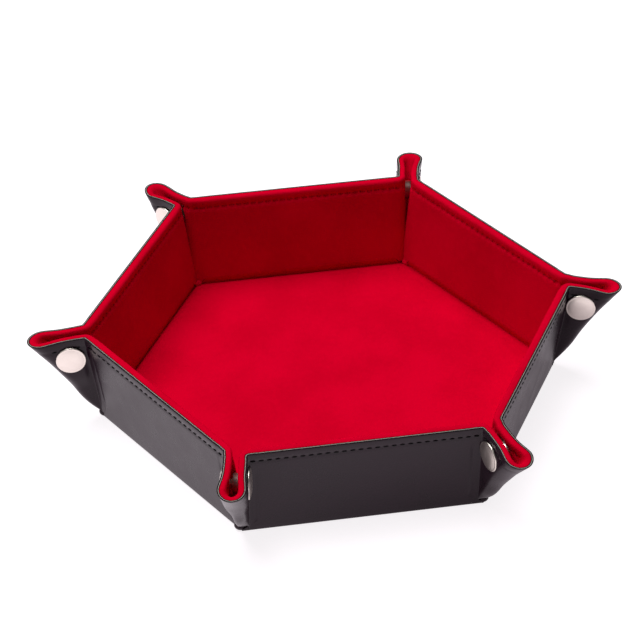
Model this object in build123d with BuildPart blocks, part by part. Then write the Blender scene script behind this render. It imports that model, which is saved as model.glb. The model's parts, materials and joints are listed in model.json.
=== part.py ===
from build123d import *
import os
from math import atan2, cos, radians, sin, tan

# A folding hexagonal dice tray.  A base and six walls are hinged along the sides of a
# hexagon, and the spare material at each corner is pinched outwards into a triangular ear
# of two flaps, held together by a snap fastener.  Millimetres, +Z up, origin at the centre
# of the underside of the base.  Corner 1 is on +X and the numbers run counter-clockwise;
# wall k stands between corners k and k + 1; flap "a" of an ear hangs on the wall
# counter-clockwise of the corner, flap "b" on the wall clockwise of it.

# ---------------------------------------------------------------- driving sizes
SIDES = 6
BASE_APOTHEM = 83.0          # centre to the outer leather of a wall, at table level
WALL_LENGTH = 42.9           # fold line to rim, measured along the wall
WALL_FLARE = 8.0             # degrees that a standing wall leans outwards
EAR_LEANS = (-15.5, 17.5, 5.5, -2.0, 18.0, -12.0)   # degrees each ear is bent, + is ccw

LEATHER = 1.0                # leatherette outer skin
BASE_LINING = 3.0            # velvet over foam
WALL_LINING = 3.0
EAR_LINING = 2.6             # no board here, and the foam is pressed
BOARD = 1.4                  # greyboard stiffener
CREASE_DEPTH = 2.8           # outer leather face to the line that a flap folds about

BOARD_FOLD_SETBACK = 4.5     # board edge to the fold line of the base
BOARD_RIM_SETBACK = 6.5      # board edge to the rim, clear of the seam
BOARD_CREASE_SETBACK = 5.5   # board edge to the crease of a flap
BOARD_CORNER = 2.0

SNAP_REACH = 7.8             # root of the ear to the snap's axis, along the ear
SNAP_DROP = 11.0             # rim to the snap's axis
CAP_RADIUS = 6.25
CAP_EDGE = 0.9               # height of the cap's rolled edge
CAP_HEIGHT = 1.8             # height of the cap's dome
POST_RADIUS = 1.3            # the cap's post, through the leather into its partner
SOCKET_RADIUS = 4.75
SOCKET_HEIGHT = 4.9
SOCKET_FLOOR = 1.5           # thickness that the post is clinched in
SOCKET_CHAMFER = 0.4
STUD_FLANGE_RADIUS = 4.2
STUD_FLANGE = 0.8
STUD_HEAD_RADIUS = 2.2
STUD_HEAD = 0.5              # height of the head's straight side
STUD_HEAD_SLOPE = 0.6        # height and width of the bevel over it
STUD_NECK_RADIUS = 1.9
STUD_NECK = 1.0
STUD_UNDERCUT = 0.4
STUD_WALL = 0.9              # over the end of the post
SPRING_WIRE = 0.3            # radius of the ring spring's wire
SPRING_DEPTH = 1.3           # socket's mouth to the middle of the spring
SPRING_OPENING = 50.0        # degrees that the ring spring is open

FOLD_GAP = 0.15              # between two bodies along a fold, each side
CREASE_GAP = 0.12
RIDGE_GAP = 0.4
EAR_GAP = 0.3                # flap to the middle plane of its ear
POCKET_GAP = 0.1             # board to its pocket, at the edges
HOLE_GAP = 0.1               # post or cap to the leather around it
SNAP_WELL_GAP = 0.8          # socket to the well in the lining
STUD_GAP = 0.75              # stud's head to the bore, which it leaves on an arc
SPRING_GAP = 0.08            # spring to its groove
FLAP_FOOT = 2.2              # flap's lowest edge above the fold line
BASE_CORNER = 2.5

# ---------------------------------------------------------------- worked-out sizes
STEP = 360 / SIDES
HALF_STEP = radians(STEP / 2)
FLARE = radians(WALL_FLARE)
FOLD_HEIGHT = LEATHER        # the fold line runs along the inner face of the leather
FOLD_APOTHEM = BASE_APOTHEM - FOLD_HEIGHT * (1 - sin(FLARE)) / cos(FLARE)
CREASE_REACH = FOLD_APOTHEM * tan(HALF_STEP)
FOLD_MITRE = (radians(90) - FLARE) / 2        # of the linings at the foot of a wall
UP = Vector(0, 0, 1)


# ---------------------------------------------------------------- planes
def bearing_vector(degrees_ccw):
    """A level unit vector at a bearing measured counter-clockwise from +X."""
    turn = radians(degrees_ccw)
    return Vector(cos(turn), sin(turn), 0)


def wall_plane(number):
    """x along the wall, y up it from the fold line, z out through the leather."""
    bearing = STEP * (number - 0.5)
    outward = bearing_vector(bearing)
    fold = outward * FOLD_APOTHEM + UP * FOLD_HEIGHT
    normal = outward * cos(FLARE) - UP * sin(FLARE)
    return Plane(origin=fold, x_dir=bearing_vector(bearing + 90), z_dir=normal)


def wall_under(corner, flap):
    """The plane of the wall that a flap hangs on, and the end of it that the flap is at."""
    if flap == "a":
        return wall_plane(corner), -1
    return wall_plane((corner - 2) % SIDES + 1), 1


def flap_fold(corner, flap):
    """Radians that a flap is turned out of its wall's plane."""
    lean = EAR_LEANS[corner - 1]
    level = radians(STEP + lean) if flap == "a" else radians(STEP - lean)
    return atan2(sin(level), cos(level) * cos(FLARE))


def flap_plane(corner, flap):
    """Origin on the crease at fold height; y up the crease, z out through the leather."""
    wall, end = wall_under(corner, flap)
    fold = flap_fold(corner, flap)
    foot = wall.origin + wall.x_dir * (end * CREASE_REACH) + wall.z_dir * (LEATHER - CREASE_DEPTH)
    along = wall.x_dir * cos(fold) + wall.z_dir * (end * sin(fold))
    normal = wall.z_dir * cos(fold) - wall.x_dir * (end * sin(fold))
    return Plane(origin=foot, x_dir=along, z_dir=normal)


def crease_mitre(corner, flap):
    """The plane that halves the fold between a wall and a flap, facing the wall."""
    wall, end = wall_under(corner, flap)
    sheet = flap_plane(corner, flap)
    normal = (wall.x_dir * -end - sheet.x_dir * end).normalized()
    return Plane(origin=sheet.origin, x_dir=wall.y_dir, z_dir=normal)


def ear_plane(corner):
    """The upright middle plane of an ear: x outwards, y up, z towards flap b."""
    bearing = STEP * (corner - 1) + EAR_LEANS[corner - 1]
    tops = []
    for flap in "ab":
        sheet = flap_plane(corner, flap)
        tops.append(sheet.origin + sheet.y_dir * WALL_LENGTH + sheet.z_dir * CREASE_DEPTH)
    middle = (tops[0] + tops[1]) * 0.5
    return Plane(origin=middle, x_dir=bearing_vector(bearing), z_dir=bearing_vector(bearing - 90))


def snap_plane(corner, flap):
    """Origin on the ear's middle plane at the snap's axis; z out through the flap."""
    ear = ear_plane(corner)
    centre = ear.origin + ear.x_dir * SNAP_REACH - UP * SNAP_DROP
    outward = ear.z_dir if flap == "b" else ear.z_dir * -1
    return Plane(origin=centre, x_dir=UP, z_dir=outward)


def cap_seat(corner, flap):
    """Distance from the ear's middle plane to the flap's outer face at the snap's axis."""
    sheet = flap_plane(corner, flap)
    snap = snap_plane(corner, flap)
    face = sheet.origin + sheet.z_dir * CREASE_DEPTH - snap.origin
    return face.dot(sheet.z_dir) / snap.z_dir.dot(sheet.z_dir)


# ---------------------------------------------------------------- helpers
def finish(piece, label):
    """Label a finished piece and write it."""
    piece.part.label = label
    export_step(piece.part, "parts/" + label + ".step")


def hexagon(apothem):
    """A regular hexagon with its flats towards the walls."""
    RegularPolygon(radius=apothem, side_count=SIDES, major_radius=False, rotation=0)


def flap_outline(end, gap):
    """The right triangle of a flap, crease to ridge, drawn in the flap's plane."""
    ridge_foot = FLAP_FOOT * tan(HALF_STEP) - RIDGE_GAP
    ridge_top = WALL_LENGTH * tan(HALF_STEP) - RIDGE_GAP
    Polygon(
        (end * gap, FLAP_FOOT),
        (end * gap, WALL_LENGTH),
        (end * ridge_top, WALL_LENGTH),
        (end * ridge_foot, FLAP_FOOT),
        align=None,
    )


def keep_own_side(corner, flap):
    """Cut a piece back from the middle plane of the ear."""
    ear = ear_plane(corner)
    if flap == "b":
        split(bisect_by=ear.offset(EAR_GAP), keep=Keep.TOP)
    else:
        split(bisect_by=ear.offset(-EAR_GAP), keep=Keep.BOTTOM)


def cut_round(plane, radius, start, end):
    """Cut a round hole along a plane's normal, between two heights over it."""
    with Locations(plane.offset(start)):
        Cylinder(
            radius,
            end - start,
            align=(Align.CENTER, Align.CENTER, Align.MIN),
            mode=Mode.SUBTRACT,
        )


def section_plane(plane, height, outward):
    """A plane through a snap's axis, x the radius and y the distance outwards or inwards."""
    side = -1 if outward else 1
    foot = plane.origin + plane.z_dir * height
    return Plane(origin=foot, x_dir=plane.x_dir, z_dir=plane.y_dir * side)


def turn_about(plane, angle=360.0, section=None):
    """Turn a section, or the one just drawn, about a snap's axis."""
    revolve(section, axis=Axis(plane.origin, plane.z_dir), revolution_arc=angle)


# ---------------------------------------------------------------- base
with BuildPart() as base_leather:
    with BuildSketch() as base_outline:
        hexagon(FOLD_APOTHEM - FOLD_GAP)
        fillet(base_outline.vertices(), BASE_CORNER)
    extrude(amount=LEATHER)
finish(base_leather, "base_leather")

BOARD_APOTHEM = FOLD_APOTHEM - BOARD_FOLD_SETBACK
with BuildPart() as base_board:
    with BuildSketch(Plane.XY.offset(LEATHER)) as board_outline:
        hexagon(BOARD_APOTHEM)
        fillet(board_outline.vertices(), BOARD_CORNER)
    extrude(amount=BOARD)
finish(base_board, "base_board")

BASE_LINING_TOP = FOLD_APOTHEM - FOLD_GAP - BASE_LINING * tan(FOLD_MITRE)
with BuildPart() as base_lining:
    with BuildSketch(Plane.XY.offset(LEATHER)) as lining_foot:
        hexagon(FOLD_APOTHEM - FOLD_GAP)
    with BuildSketch(Plane.XY.offset(LEATHER + BASE_LINING)) as lining_top:
        hexagon(BASE_LINING_TOP)
    loft()
    with BuildSketch(Plane.XY.offset(LEATHER)) as pocket_outline:
        hexagon(BOARD_APOTHEM + POCKET_GAP)
        fillet(pocket_outline.vertices(), BOARD_CORNER)
    extrude(amount=BOARD, mode=Mode.SUBTRACT)
finish(base_lining, "base_lining")

# ---------------------------------------------------------------- walls
BOARD_HALF_WIDTH = CREASE_REACH - BOARD_CREASE_SETBACK
BOARD_LENGTH = WALL_LENGTH - BOARD_RIM_SETBACK - BOARD_FOLD_SETBACK
BOARD_CENTRE = BOARD_FOLD_SETBACK + BOARD_LENGTH / 2


def cut_wall_ends(number):
    """Mitre both ends of a wall piece for its flaps, and clear the next walls' linings."""
    left_corner = number
    right_corner = number % SIDES + 1
    split(bisect_by=crease_mitre(left_corner, "a").offset(CREASE_GAP), keep=Keep.TOP)
    split(bisect_by=crease_mitre(right_corner, "b").offset(CREASE_GAP), keep=Keep.TOP)
    for corner, flap in ((left_corner, "a"), (right_corner, "b")):
        turn = 90 if flap == "a" else -90
        facing = bearing_vector(STEP * (corner - 1) + turn)
        middle = Plane(origin=(0, 0, 0), x_dir=UP, z_dir=facing)
        split(bisect_by=middle.offset(EAR_GAP), keep=Keep.TOP)
        keep_own_side(corner, flap)


for number in range(1, SIDES + 1):
    plane = wall_plane(number)
    name = f"wall_{number}"

    with BuildPart() as wall_leather:
        with BuildSketch(plane):
            with Locations((0, (WALL_LENGTH + FOLD_GAP) / 2)):
                Rectangle(2 * (CREASE_REACH - CREASE_GAP), WALL_LENGTH - FOLD_GAP)
        extrude(amount=LEATHER)
        cut_wall_ends(number)
    finish(wall_leather, name + "_leather")

    with BuildPart() as wall_board:
        with BuildSketch(plane):
            with Locations((0, BOARD_CENTRE)):
                RectangleRounded(2 * BOARD_HALF_WIDTH, BOARD_LENGTH, BOARD_CORNER)
        extrude(amount=-BOARD)
    finish(wall_board, name + "_board")

    with BuildPart() as wall_lining:
        with BuildSketch(plane):
            with Locations((0, (WALL_LENGTH + FOLD_GAP) / 2)):
                Rectangle(2 * (CREASE_REACH - CREASE_GAP), WALL_LENGTH - FOLD_GAP)
        extrude(amount=-WALL_LINING)
        foot_normal = plane.y_dir * cos(FOLD_MITRE) + plane.z_dir * sin(FOLD_MITRE)
        foot_cut = Plane(origin=plane.origin, x_dir=plane.x_dir, z_dir=foot_normal)
        split(bisect_by=foot_cut.offset(FOLD_GAP), keep=Keep.TOP)
        cut_wall_ends(number)
        with BuildSketch(plane):
            with Locations((0, BOARD_CENTRE)):
                RectangleRounded(
                    2 * (BOARD_HALF_WIDTH + POCKET_GAP), BOARD_LENGTH + 2 * POCKET_GAP, BOARD_CORNER
                )
        extrude(amount=-BOARD, mode=Mode.SUBTRACT)
    finish(wall_lining, name + "_lining")

# ---------------------------------------------------------------- ears
FLANGE_RADII = {"a": SOCKET_RADIUS, "b": STUD_FLANGE_RADIUS}
WELL_RADIUS = SOCKET_RADIUS + SNAP_WELL_GAP
LEATHER_INSIDE = CREASE_DEPTH - LEATHER


def trim_flap(corner, flap):
    """Mitre a flap at its crease and keep it on its own side of the ear."""
    split(bisect_by=crease_mitre(corner, flap).offset(-CREASE_GAP), keep=Keep.BOTTOM)
    keep_own_side(corner, flap)


for corner in range(1, SIDES + 1):
    for flap in "ab":
        sheet = flap_plane(corner, flap)
        snap = snap_plane(corner, flap)
        seat = cap_seat(corner, flap)
        end = -1 if flap == "a" else 1
        name = f"ear_{corner}{flap}"

        with BuildPart() as ear_leather:
            with BuildSketch(sheet.offset(LEATHER_INSIDE)):
                flap_outline(end, CREASE_GAP)
            extrude(amount=LEATHER)
            trim_flap(corner, flap)
            cut_round(snap, CAP_RADIUS + HOLE_GAP, seat, seat + CAP_HEIGHT)
            cut_round(snap, POST_RADIUS + HOLE_GAP, 0, seat)
            cut_round(snap, FLANGE_RADII[flap] + HOLE_GAP, 0, seat - LEATHER)
        finish(ear_leather, name + "_leather")

        with BuildPart() as ear_lining:
            with BuildSketch(sheet.offset(LEATHER_INSIDE - EAR_LINING)):
                flap_outline(end, CREASE_GAP)
            extrude(amount=EAR_LINING)
            trim_flap(corner, flap)
            cut_round(snap, WELL_RADIUS, 0, seat)
        finish(ear_lining, name + "_lining")

# ---------------------------------------------------------------- snap fasteners
POST_HOLE = POST_RADIUS + HOLE_GAP
BORE_RADIUS = STUD_HEAD_RADIUS + STUD_GAP
GROOVE_RADIUS = BORE_RADIUS + 2 * SPRING_WIRE + 2 * SPRING_GAP
GROOVE_HALF = SPRING_WIRE + SPRING_GAP
SPRING_RADIUS = BORE_RADIUS + SPRING_GAP + SPRING_WIRE
SPRING_HEIGHT = SOCKET_HEIGHT - SPRING_DEPTH
STUD_POST_DEPTH = STUD_FLANGE + STUD_NECK + STUD_UNDERCUT + STUD_HEAD + STUD_HEAD_SLOPE - STUD_WALL


def cap_section(snap, seat, post_length):
    """Half the section of a domed cap with a rolled edge, and of its post."""
    edge = CAP_EDGE / 2
    rise = CAP_HEIGHT - CAP_EDGE
    half_width = CAP_RADIUS - edge
    dome = (half_width**2 + rise**2) / (2 * rise)
    half_arc = atan2(half_width, dome - rise) / 2
    shoulder = (dome * sin(half_arc), CAP_HEIGHT - dome + dome * cos(half_arc))
    with BuildSketch(section_plane(snap, seat, outward=True)) as section:
        with BuildLine():
            Polyline((0, CAP_HEIGHT), (0, -post_length), (POST_RADIUS, -post_length),
                     (POST_RADIUS, 0), (half_width, 0))
            ThreePointArc((half_width, 0), (CAP_RADIUS, edge), (half_width, CAP_EDGE))
            ThreePointArc((half_width, CAP_EDGE), shoulder, (0, CAP_HEIGHT))
        make_face()
    return section.sketch


for corner in range(1, SIDES + 1):
    snap = snap_plane(corner, "a")
    seat = cap_seat(corner, "a")
    inside = section_plane(snap, seat - LEATHER, outward=False)
    with BuildPart() as socket_snap:
        turn_about(snap, section=cap_section(snap, seat, LEATHER + SOCKET_FLOOR))
        with BuildSketch(inside):
            with BuildLine():
                Polyline(
                    (POST_HOLE, 0),
                    (SOCKET_RADIUS, 0),
                    (SOCKET_RADIUS, SOCKET_HEIGHT - SOCKET_CHAMFER),
                    (SOCKET_RADIUS - SOCKET_CHAMFER, SOCKET_HEIGHT),
                    (BORE_RADIUS + SOCKET_CHAMFER, SOCKET_HEIGHT),
                    (BORE_RADIUS, SOCKET_HEIGHT - SOCKET_CHAMFER),
                    (BORE_RADIUS, SPRING_HEIGHT + GROOVE_HALF),
                    (GROOVE_RADIUS, SPRING_HEIGHT + GROOVE_HALF),
                    (GROOVE_RADIUS, SPRING_HEIGHT - GROOVE_HALF),
                    (BORE_RADIUS, SPRING_HEIGHT - GROOVE_HALF),
                    (BORE_RADIUS, SOCKET_FLOOR),
                    (POST_HOLE, SOCKET_FLOOR),
                    close=True,
                )
            make_face()
        turn_about(snap)
        with BuildSketch(inside):
            with Locations((SPRING_RADIUS, SPRING_HEIGHT)):
                Circle(SPRING_WIRE)
        turn_about(snap, 360 - SPRING_OPENING)
    finish(socket_snap, f"socket_snap_{corner}")

    snap = snap_plane(corner, "b")
    seat = cap_seat(corner, "b")
    inside = section_plane(snap, seat - LEATHER, outward=False)
    neck_top = STUD_FLANGE + STUD_NECK
    head_foot = neck_top + STUD_UNDERCUT
    head_side = head_foot + STUD_HEAD
    head_top = head_side + STUD_HEAD_SLOPE
    with BuildPart() as stud_snap:
        turn_about(snap, section=cap_section(snap, seat, LEATHER + STUD_POST_DEPTH))
        with BuildSketch(inside):
            with BuildLine():
                Polyline(
                    (POST_HOLE, 0),
                    (STUD_FLANGE_RADIUS, 0),
                    (STUD_FLANGE_RADIUS, STUD_FLANGE),
                    (STUD_NECK_RADIUS, STUD_FLANGE),
                    (STUD_NECK_RADIUS, neck_top),
                    (STUD_HEAD_RADIUS, head_foot),
                    (STUD_HEAD_RADIUS, head_side),
                    (STUD_HEAD_RADIUS - STUD_HEAD_SLOPE, head_top),
                    (0, head_top),
                    (0, STUD_POST_DEPTH + HOLE_GAP),
                    (POST_HOLE, STUD_POST_DEPTH + HOLE_GAP),
                    close=True,
                )
            make_face()
        turn_about(snap)
    finish(stud_snap, f"stud_snap_{corner}")

for corner in range(1, SIDES + 1):
    gap = cap_seat(corner, "a") + cap_seat(corner, "b") - 2 * LEATHER - SOCKET_HEIGHT - STUD_FLANGE
    print(f"ear {corner}: socket mouth to stud flange {gap:.2f} mm")
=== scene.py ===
import json
import math

import bmesh
import bpy
from mathutils import Matrix, Vector, noise


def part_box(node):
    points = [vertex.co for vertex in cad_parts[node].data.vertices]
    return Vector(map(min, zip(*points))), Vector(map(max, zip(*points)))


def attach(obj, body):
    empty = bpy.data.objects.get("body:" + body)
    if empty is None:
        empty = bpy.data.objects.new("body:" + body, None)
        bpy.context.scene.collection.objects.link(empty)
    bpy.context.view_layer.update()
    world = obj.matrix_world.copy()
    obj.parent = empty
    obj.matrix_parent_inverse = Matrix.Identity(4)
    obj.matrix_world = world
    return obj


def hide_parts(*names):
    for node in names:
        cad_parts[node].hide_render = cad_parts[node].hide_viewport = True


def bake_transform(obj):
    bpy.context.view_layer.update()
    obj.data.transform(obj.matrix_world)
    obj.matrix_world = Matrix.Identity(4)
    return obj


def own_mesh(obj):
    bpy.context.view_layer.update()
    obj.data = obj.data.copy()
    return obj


# A folding hexagonal dice tray: leatherette skins, velvet linings, lockstitched rims and
# snap fasteners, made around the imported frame.  Everything is in metres.
#
# Each skin and lining is cut flat as a slab, its edges are rounded, and it is then folded
# to its place.  Across a wall, p is the distance from its middle and s the height up it
# from its fold line; depth is the distance in from the outer face of the leatherette.

bl_info = {
    "name": "Folding dice tray",
    "version": (1, 0, 0),
    "blender": (4, 5, 0),
    "location": "3D View > Sidebar > Dice Tray",
    "description": "Builds the skins, linings, seams and snaps of a hexagonal folding tray",
    "category": "Add Mesh",
}

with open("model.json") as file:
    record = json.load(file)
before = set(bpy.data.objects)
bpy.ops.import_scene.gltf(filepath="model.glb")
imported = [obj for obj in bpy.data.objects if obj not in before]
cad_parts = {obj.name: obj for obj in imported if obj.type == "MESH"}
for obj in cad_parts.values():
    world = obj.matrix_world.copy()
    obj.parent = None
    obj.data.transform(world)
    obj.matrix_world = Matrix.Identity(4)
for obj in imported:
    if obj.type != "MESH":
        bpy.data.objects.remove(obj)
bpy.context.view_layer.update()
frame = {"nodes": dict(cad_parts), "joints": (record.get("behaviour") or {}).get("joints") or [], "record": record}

MM = 0.001
UP = Vector((0, 0, 1))
SIDES = 6
HALF_STEP = math.pi / SIDES

# ---------------------------------------------------------------- sizes read from the frame
JOINTS = {joint["name"]: joint for joint in frame["joints"]}
RATIOS = {c["joint"]: c["ratio"] for c in frame["record"]["behaviour"]["couplings"]}


def thickness_of(node):
    """Height of a level CAD sheet."""
    low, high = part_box(node)
    return high[2] - low[2]


LEATHER = thickness_of("base_leather")
BASE_LINING = thickness_of("base_lining")
WALL_FACE = LEATHER + BASE_LINING     # depth of the velvet's face on walls and base
EAR_LINING = 2.4 * MM                 # the foam is pressed in the ears
EAR_FACE = LEATHER + EAR_LINING

# ---------------------------------------------------------------- sizes of the skins
FOLD_RADIUS = 1.5 * MM                # outside of the fold at the foot of a wall
CREASE_RADIUS = 0.7 * MM              # inside of the crease at an ear's root
WALL_BORDER = 6.5 * MM                # crease to the border between wall and ear pieces
WALL_BORDER_RISE = 6.0 * MM           # the border slants in to the corner below this
EAR_FOOT = 0.6 * MM                   # lowest edge of the ear's leatherette
LINING_FOOT = 3.0 * MM                # lowest edge of the ear's lining
BASE_BORDER = 9.0 * MM                # fold to the border between wall and base skins
FLOOR_BORDER = 6.0 * MM               # groove to the border between wall and base linings
SEAM_DROP = 4.0 * MM                  # rim to the seam
SEAM_END = 1.3 * MM                   # crease to where a wall's seam may end
EAR_SEAM_START = 2.5 * MM             # crease to where an ear's seam starts
SEAM_DENT = 0.2 * MM                  # how far the thread draws the leatherette in
SEAM_WIDTH = 0.9 * MM                 # half width of that furrow
STITCH_PITCH = 3.2 * MM
STITCH_PROUD = 0.05 * MM              # a stitch's middle above the surface it is sewn on
VELVET_SINK = 0.6 * MM                # how deep the velvet's stitches lie
STITCH_PULL = 0.9 * MM                # how far each of them pulls the velvet in
VELVET_FURROW = 0.1 * MM              # how far it is drawn in between two stitches
FURROW_WIDTH = 1.0 * MM               # half width of the velvet's furrow
VELVET_WAVE = 0.12 * MM               # how much the velvet's face waves
WAVE_SPAN = 14.0 * MM
BOARD_EDGE = 6.5 * MM                 # crease to the edge of a wall's board
BOARD_BLEND = 1.6 * MM                # the leatherette comes down past the board over this
BOARD_STEP = 0.1 * MM                 # and by this much
BEND_PLACE = 5.2 * MM                 # crease to the furrow where the leatherette bends
BEND_DENT = 0.18 * MM
BEND_WIDTH = 0.9 * MM
SKIN_ROUND = 0.25 * MM                # rounding of the leatherette's rim
VELVET_ROUND = 1.3 * MM               # rounding of the velvet's rim
BACK_ROUND = 0.5 * MM                 # the same at the velvet's back
GROOVE_DEPTH = 1.7 * MM               # groove between floor and wall
GROOVE_WIDTH = 1.2 * MM               # its half width
LOOP_SHARE = 1.25                     # length of an ear's end loop over its half width
SNAP_REACH = 7.4 * MM                 # ear's root to its snap
SNAP_DROP = 10.3 * MM                 # rim to the snap
FLANGE_FLAT = 4.6 * MM                # the snap's flange presses the velvet down this far out
FLANGE_FALL = 2.4 * MM                # and the velvet rises again over this
FLANGE_PAD = 0.1 * MM                 # velvet left under the flange
EAR_STRETCH = (-0.6, 1.5, -1.0, 0.0, 1.8, 2.6)    # how far each ear was pulled longer, mm
EAR_RISE = (0.6, 0.2, 1.5, 0.0, -0.6, -0.8)       # how far each tip turned up, mm
EAR_EASE = (0.1, 0.5, 0.35, 0.45, 0.5, 0.05)      # how far each closed snap stands open, mm
PINCH_FLAT = 6.8 * MM                 # a flap is drawn in flat this far round its snap
PINCH_FALL = 10.5 * MM                # and comes back to its straight run over this
RIDGE_SLACK = 2.2 * MM                # how far a ridge bellies out near its foot
RIDGE_HOLLOW = 0.4 * MM               # and draws in near its tip
EAR_SLIT = 0.15 * MM                  # least distance of the velvet to the ear's middle
LOOP_SPRING = 0.9 * MM                # how far an end loop springs out
SPRING_SPAN = 5.0 * MM                # around its start
LINING_THIN_END = 2.0 * MM            # past the crease, where the lining has the ear's depth
RIM_ROW = 1.4 * MM                    # the top row of every panel, which takes the rounding
EDGE_GAP = 0.03 * MM                  # half the gap between neighbouring walls at the mitre
CORNER_SKIN = (2.5 * MM, 2.5 * MM, 2.0 * MM)      # half sizes of a corner's leatherette
CORNER_SKIN_IN = 1.9 * MM             # outer corner in to its middle
CORNER_VELVET = (2.2 * MM, 2.2 * MM, 1.6 * MM)    # half sizes of a corner's velvet
CORNER_VELVET_OUT = 0.9 * MM          # inner corner out to its middle
CORNER_VELVET_SINK = 0.3 * MM         # floor down to its middle


def smooth(value):
    """0 below 0, 1 above 1, and an even ramp between."""
    t = min(1.0, max(0.0, value))
    return t * t * (3 - 2 * t)


def bump(value, width):
    """A rounded ridge of height 1 at 0."""
    return math.exp(-((value / width) ** 2))


# ---------------------------------------------------------------- places read from the frame
class Wall:
    """One wall's place: its fold line, and the directions along, up and out of it."""

    def __init__(self, number):
        self.number = number
        self.body = f"wall_{number}"
        self.foot = Vector(JOINTS[f"wall_{number}_fold"]["pos_m"])
        crease = JOINTS[f"flap_{number}a_crease"]
        self.out = Vector((self.foot.x, self.foot.y, 0)).normalized()
        self.along = UP.cross(self.out)
        up = Vector(crease["axis"]).normalized()
        self.up = up if up.z > 0 else -up
        self.normal = self.along.cross(self.up)
        side = Vector(crease["pos_m"]) - self.foot
        self.reach = abs(side.dot(self.along))
        self.crease_depth = LEATHER - side.dot(self.normal)
        self.flare = math.atan2(self.up.dot(self.out), self.up.z)
        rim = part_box(f"wall_{number}_leather")[1][2]
        self.length = (rim - self.foot.z) / self.up.z

    def at(self, p, s, depth):
        return self.foot + self.along * p + self.up * s + self.normal * (LEATHER - depth)


WALLS = {number: Wall(number) for number in range(1, SIDES + 1)}
REACH = WALLS[1].reach
LENGTH = WALLS[1].length
FLARE = WALLS[1].flare
CREASE_DEPTH = WALLS[1].crease_depth
SEAM = LENGTH - SEAM_DROP
FOLD_TURN = math.pi / 2 - FLARE       # a standing wall's turn from flat
MITRE = math.tan(FOLD_TURN / 2)       # inset of the fold's corner per depth
FOLD_TANGENT = FOLD_RADIUS * MITRE
FACE_APOTHEM = WALLS[1].foot.dot(WALLS[1].out) + LEATHER * MITRE


class Flap:
    """One of an ear's two flaps: it hangs on a wall at its crease."""

    def __init__(self, corner, side):
        self.body = f"flap_{corner}{side}"
        self.joint = f"flap_{corner}{side}_crease"
        self.name = f"{corner}{side}"
        self.wall = WALLS[corner if side == "a" else (corner - 2) % SIDES + 1]
        self.end = -1 if side == "a" else 1
        self.fold = RATIOS[self.joint] * FOLD_TURN
        self.turn = (CREASE_DEPTH + CREASE_RADIUS) * math.tan(self.fold / 2)
        self.foot = Vector(JOINTS[self.joint]["pos_m"])
        across = self.wall.along * self.end
        self.along = across * math.cos(self.fold) + self.wall.normal * math.sin(self.fold)
        self.normal = self.wall.normal * math.cos(self.fold) - across * math.sin(self.fold)
        self.up = self.wall.up

    def face(self, u, s):
        """A point of the flat outer face, u out from the crease."""
        return self.foot + self.along * u + self.up * s + self.normal * CREASE_DEPTH


class Ear:
    """One pinched corner: two flaps, a middle plane, a ridge where the flaps meet."""

    def __init__(self, corner):
        self.corner = corner
        self.flaps = {side: Flap(corner, side) for side in "ab"}
        tops = [flap.face(0, LENGTH) for flap in self.flaps.values()]
        self.origin = (tops[0] + tops[1]) / 2
        level = self.flaps["a"].along
        self.out = Vector((level.x, level.y, 0)).normalized()
        towards_b = self.out.cross(UP)
        for side, flap in self.flaps.items():
            flap.ear = self
            flap.away = towards_b if side == "b" else -towards_b
        width = LENGTH * math.tan(HALF_STEP)
        self.foot = self.middle([flap.face(0, 0) for flap in self.flaps.values()])
        self.tip = self.middle([flap.face(width, LENGTH) for flap in self.flaps.values()])
        self.tip += self.out * EAR_STRETCH[corner - 1] * MM + UP * EAR_RISE[corner - 1] * MM
        self.snap = self.origin + self.out * SNAP_REACH - UP * SNAP_DROP
        for flap in self.flaps.values():
            face = flap.face(0, 0) - self.snap
            flap.seat = face.dot(flap.normal) / flap.away.dot(flap.normal)
            flap.seat += EAR_EASE[corner - 1] * MM

    def middle(self, points):
        """The mean of some points, moved onto the middle plane."""
        mean = sum(points, Vector()) / len(points)
        off = (mean - self.origin).dot(self.out.cross(UP))
        return mean - self.out.cross(UP) * off

    def ridge(self, s):
        """The ridge line, with the slack that the folded material keeps near its foot."""
        share = s / LENGTH
        slack = RIDGE_SLACK * bump(share - 0.2, 0.22) * smooth(share / 0.12)
        slack -= RIDGE_HOLLOW * bump(share - 0.75, 0.15)
        return self.foot.lerp(self.tip, share) + self.out * slack


EARS = {corner: Ear(corner) for corner in range(1, SIDES + 1)}


# ---------------------------------------------------------------- folding
def fold_skin(wall, p, q, depth):
    """Leatherette over the fold at a wall's foot; q is 0 at the outer corner, + up the wall."""
    if q < -FOLD_TANGENT:
        return wall.out * (FACE_APOTHEM + q) + wall.along * p + UP * depth
    if q > FOLD_TANGENT:
        corner = wall.out * FACE_APOTHEM + wall.along * p
        return corner + wall.up * q - wall.normal * depth
    turned = (q + FOLD_TANGENT) / (2 * FOLD_TANGENT) * FOLD_TURN
    centre = wall.out * (FACE_APOTHEM - FOLD_TANGENT) + UP * FOLD_RADIUS + wall.along * p
    arm = wall.out * math.sin(turned) - UP * math.cos(turned)
    return centre + arm * (FOLD_RADIUS - depth)


def fold_lining(wall, p, q, depth):
    """Lining over the same fold; q is 0 at the groove between floor and wall."""
    share = (depth - LEATHER) / BASE_LINING
    groove = GROOVE_DEPTH * bump(q, GROOVE_WIDTH) * share
    corner = wall.out * (FACE_APOTHEM - depth * MITRE) + UP * depth + wall.along * p
    way = wall.up * q if q > 0 else wall.out * q
    inwards = (wall.up - wall.out).normalized()
    return corner + way - inwards * groove


def wall_height(q, depth):
    """Height s up a wall for a point q up from its fold's corner at a depth."""
    return q + (depth - LEATHER) * MITRE


def border(s):
    """Half the width of a wall piece at height s: it slants in to the corner at the foot."""
    return REACH - WALL_BORDER * min(1.0, max(0.0, s / WALL_BORDER_RISE))


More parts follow.
